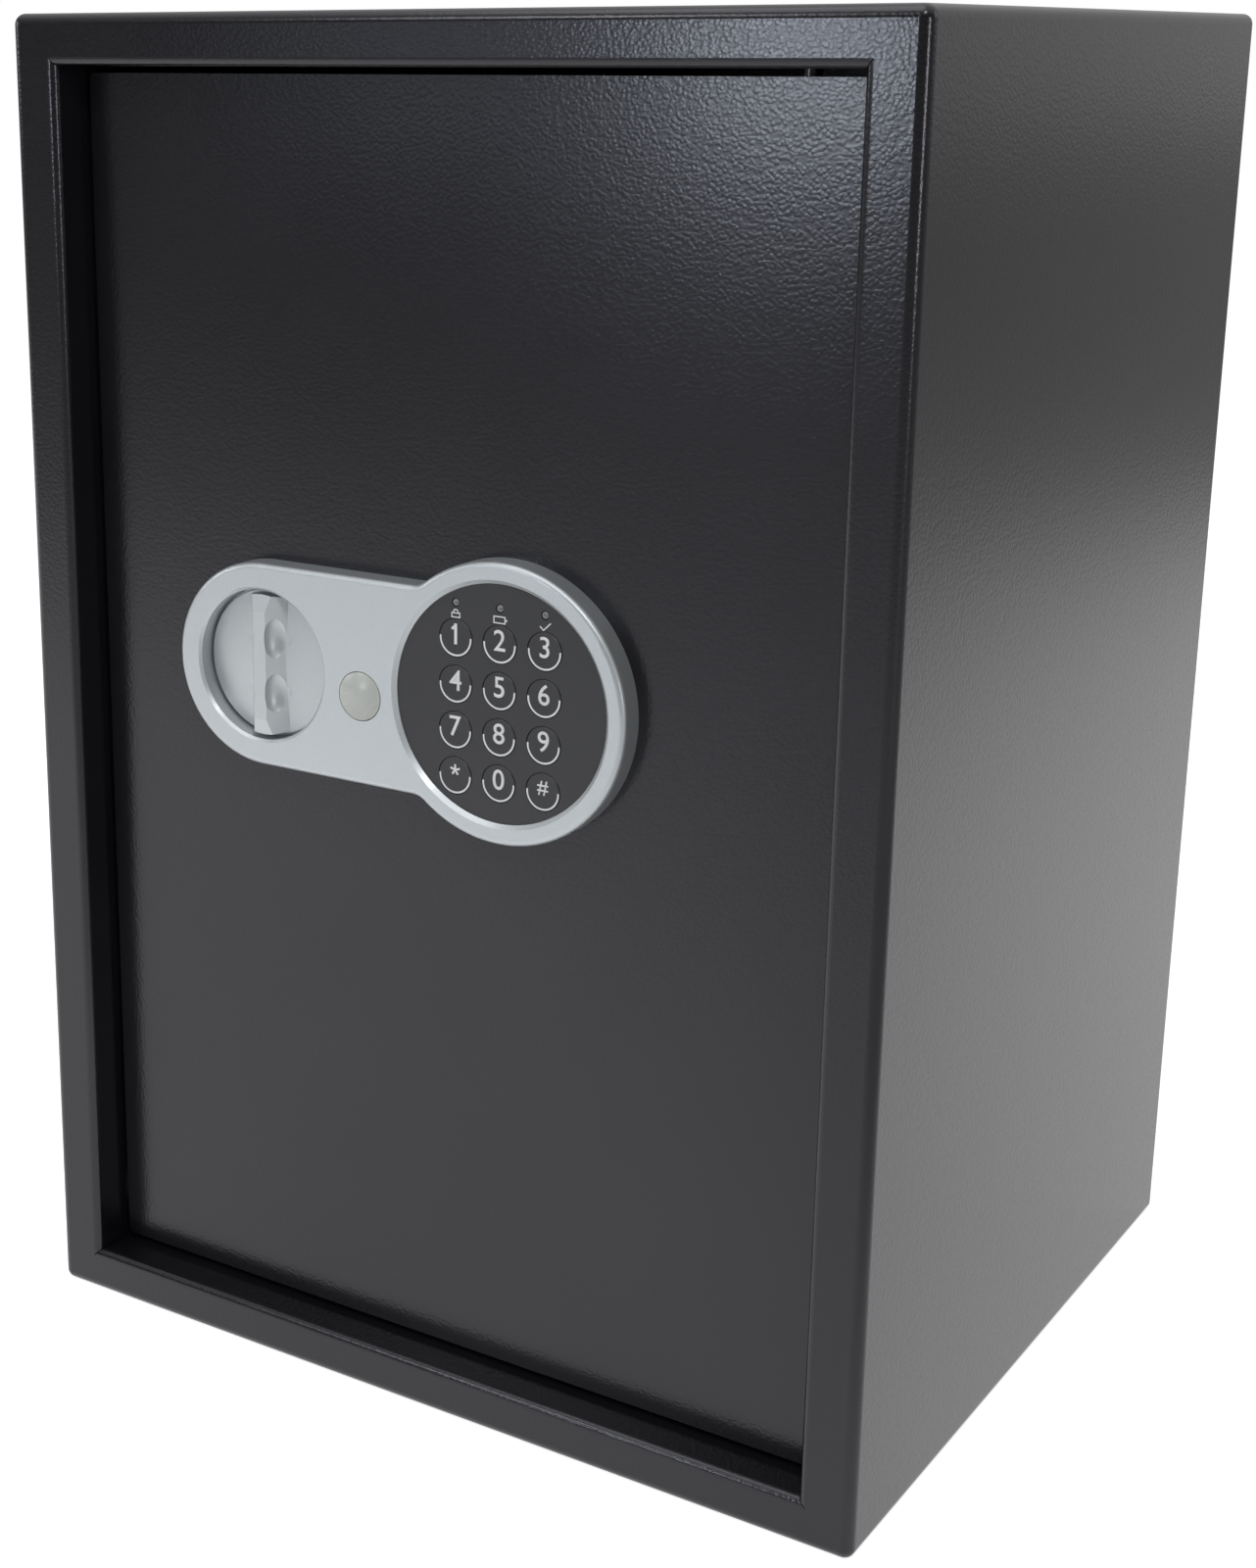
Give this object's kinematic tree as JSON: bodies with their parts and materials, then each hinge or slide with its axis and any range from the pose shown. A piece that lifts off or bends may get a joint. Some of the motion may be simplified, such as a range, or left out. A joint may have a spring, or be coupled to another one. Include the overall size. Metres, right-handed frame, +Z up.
{
  "type": "electronic safe",
  "caption": "Upright black steel safe with a recessed door, a silver keypad plate, a turning knob that throws side bolts, a key override and a shelf inside.",
  "frame": {"origin": "middle of the base, on the surface that the safe stands on", "axes": "+Z up, +Y from the door towards the back panel, +X to the right of a person facing the door"},
  "size_m": [0.35, 0.31, 0.5],
  "materials": {
    "powder_coat": "black fine-textured powder coat",
    "shelf_coat": "black fine-textured powder coat",
    "cover_coat": "black powder coat, satin",
    "bright_steel": "bright plated steel",
    "lock_steel": "turned steel",
    "zinc_plate": "zinc-plated steel, clear passivated",
    "felt": "charcoal needle felt",
    "silver_paint": "silver paint on moulded plastic",
    "knob_paint": "silver paint on moulded plastic",
    "keypad_black": "satin charcoal panel",
    "key_black": "satin charcoal keys with light figures",
    "circuit_board": "green solder mask",
    "dark_plastic": "black moulded plastic",
    "lamp_lens": "smoked lamp lens, unlit",
    "nylon": "natural nylon",
    "coil_tape": "lacquered tape over the winding",
    "ribbon_grey": "grey ribbon cable",
    "lead_red": "red wire insulation",
    "lead_black": "black wire insulation",
    "cell_jacket": "plain printed battery jacket",
    "brass": "machined brass",
    "cap_plastic": "grey-green translucent plastic",
    "reset_red": "red moulded plastic"
  },
  "bodies": {
    "cabinet": {"cabinet_body": "powder_coat", "back_panel": "powder_coat", "hinge_brackets": "powder_coat", "hinge_pins": "powder_coat", "shelf": "shelf_coat", "shelf_supports": "shelf_coat", "floor_mat": "felt"},
    "door": {"door_plate": "powder_coat", "hinge_knuckles": "powder_coat", "bolt_guide": "zinc_plate", "guide_studs": "bright_steel", "escutcheon": "silver_paint", "escutcheon_screws": "zinc_plate", "keypad_panel": "keypad_black", "keypad_board": "circuit_board", "key_switches": "dark_plastic", "status_lamps": "lamp_lens", "knob_bush": "nylon", "override_barrel": "lock_steel", "override_nut": "zinc_plate", "solenoid_frame": "zinc_plate", "solenoid_coil": "coil_tape", "control_board": "circuit_board", "board_spacers": "zinc_plate", "ribbon_cable": "ribbon_grey", "red_leads": "lead_red", "black_leads": "lead_black", "battery_tray": "dark_plastic", "battery_cells": "cell_jacket", "reset_switch": "dark_plastic", "mechanism_cover": "cover_coat", "cover_screws": "zinc_plate", "plunger_spring": "bright_steel"},
    "knob": {"knob": "knob_paint", "knob_spindle": "bright_steel", "bolt_crank": "zinc_plate"},
    "bolt_carriage": {"bolt_carriage": "zinc_plate", "live_bolts": "bright_steel", "bolt_nuts": "zinc_plate"},
    "plunger": {"solenoid_plunger": "bright_steel"},
    "override": {"override_plug": "brass", "override_cam": "zinc_plate"},
    "override_cap": {"override_cap": "cap_plastic"},
    "reset_button": {"reset_button": "reset_red"},
    "battery_lid": {"battery_lid": "dark_plastic"},
    "key_1": {"key_1": "key_black"},
    "key_2": {"key_2": "key_black"},
    "key_3": {"key_3": "key_black"},
    "key_4": {"key_4": "key_black"},
    "key_5": {"key_5": "key_black"},
    "key_6": {"key_6": "key_black"},
    "key_7": {"key_7": "key_black"},
    "key_8": {"key_8": "key_black"},
    "key_9": {"key_9": "key_black"},
    "key_star": {"key_star": "key_black"},
    "key_0": {"key_0": "key_black"},
    "key_hash": {"key_hash": "key_black"}
  },
  "joints": [
    {"name": "door_hinge", "type": "hinge", "parent": "cabinet", "child": "door", "pos_m": [0.1275, -0.13, 0.25], "axis": [0, 0, 1], "range_deg": [0, 100]},
    {"name": "knob_turn", "type": "hinge", "parent": "door", "child": "knob", "pos_m": [-0.072, -0.139, 0.273], "axis": [0, -1, 0], "range_deg": [0, 90]},
    {"name": "bolt_throw", "type": "slide", "parent": "door", "child": "bolt_carriage", "axis": [-1, 0, 0], "range_m": [0, 0.01838]},
    {"name": "plunger_slide", "type": "slide", "parent": "door", "child": "plunger", "axis": [0, 0, 1], "range_m": [0, 0.005], "deforming": ["plunger_spring"]},
    {"name": "override_turn", "type": "hinge", "parent": "door", "child": "override", "pos_m": [-0.028, -0.139, 0.268], "axis": [0, 1, 0], "range_deg": [0, 90]},
    {"name": "cap_pull", "type": "slide", "parent": "door", "child": "override_cap", "axis": [0, -1, 0], "range_m": [0, 0.02]},
    {"name": "reset_press", "type": "slide", "parent": "door", "child": "reset_button", "axis": [0, -1, 0], "range_m": [0, 0.002], "stiffness_N_per_m": 500},
    {"name": "lid_pull", "type": "slide", "parent": "door", "child": "battery_lid", "axis": [0, 1, 0], "range_m": [0, 0.025]},
    {"name": "key_1_press", "type": "slide", "parent": "door", "child": "key_1", "axis": [0, 1, 0], "range_m": [0, 0.0008], "stiffness_N_per_m": 1500},
    {"name": "key_2_press", "type": "slide", "parent": "door", "child": "key_2", "axis": [0, 1, 0], "range_m": [0, 0.0008], "stiffness_N_per_m": 1500},
    {"name": "key_3_press", "type": "slide", "parent": "door", "child": "key_3", "axis": [0, 1, 0], "range_m": [0, 0.0008], "stiffness_N_per_m": 1500},
    {"name": "key_4_press", "type": "slide", "parent": "door", "child": "key_4", "axis": [0, 1, 0], "range_m": [0, 0.0008], "stiffness_N_per_m": 1500},
    {"name": "key_5_press", "type": "slide", "parent": "door", "child": "key_5", "axis": [0, 1, 0], "range_m": [0, 0.0008], "stiffness_N_per_m": 1500},
    {"name": "key_6_press", "type": "slide", "parent": "door", "child": "key_6", "axis": [0, 1, 0], "range_m": [0, 0.0008], "stiffness_N_per_m": 1500},
    {"name": "key_7_press", "type": "slide", "parent": "door", "child": "key_7", "axis": [0, 1, 0], "range_m": [0, 0.0008], "stiffness_N_per_m": 1500},
    {"name": "key_8_press", "type": "slide", "parent": "door", "child": "key_8", "axis": [0, 1, 0], "range_m": [0, 0.0008], "stiffness_N_per_m": 1500},
    {"name": "key_9_press", "type": "slide", "parent": "door", "child": "key_9", "axis": [0, 1, 0], "range_m": [0, 0.0008], "stiffness_N_per_m": 1500},
    {"name": "key_star_press", "type": "slide", "parent": "door", "child": "key_star", "axis": [0, 1, 0], "range_m": [0, 0.0008], "stiffness_N_per_m": 1500},
    {"name": "key_0_press", "type": "slide", "parent": "door", "child": "key_0", "axis": [0, 1, 0], "range_m": [0, 0.0008], "stiffness_N_per_m": 1500},
    {"name": "key_hash_press", "type": "slide", "parent": "door", "child": "key_hash", "axis": [0, 1, 0], "range_m": [0, 0.0008], "stiffness_N_per_m": 1500}
  ],
  "couplings": [
    {"joint": "knob_turn", "follows": "bolt_throw", "rad_per_m": 85.439}
  ]
}
